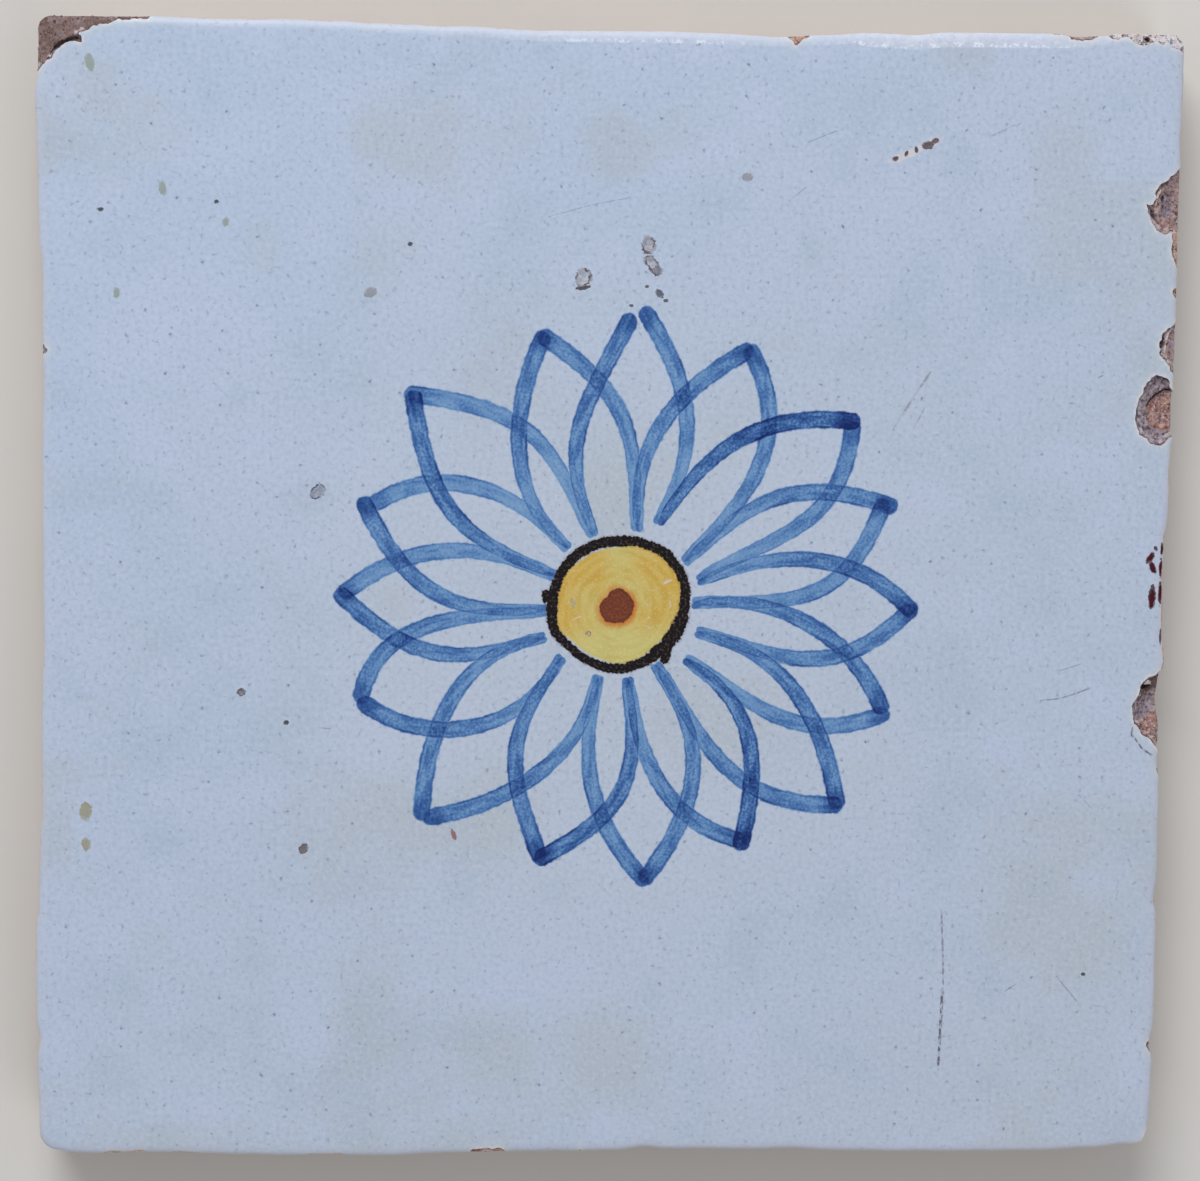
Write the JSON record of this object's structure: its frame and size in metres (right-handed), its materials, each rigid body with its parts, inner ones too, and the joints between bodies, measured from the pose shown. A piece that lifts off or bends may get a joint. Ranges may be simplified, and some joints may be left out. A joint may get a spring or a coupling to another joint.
{
  "type": "azulejo tile",
  "caption": "Square glazed ceramic wall tile, hand-painted rosette on the face, rolled glazed edges and chipped rim, flat unglazed back.",
  "frame": {"origin": "middle of the underside's bounding box, on the face the tile rests on", "axes": "+Z out of the glazed face, +X to the right of the painted motif, +Y to its top"},
  "size_m": [0.1498, 0.1498, 0.012],
  "materials": {
    "glaze": "satin gloss pale blue-grey glaze with a hand-painted cobalt rosette",
    "biscuit_clay": "matt pinkish fired clay, bare on the back, the sides and in the chips"
  },
  "bodies": {
    "root": {"tile": "glaze"}
  },
  "joints": []
}
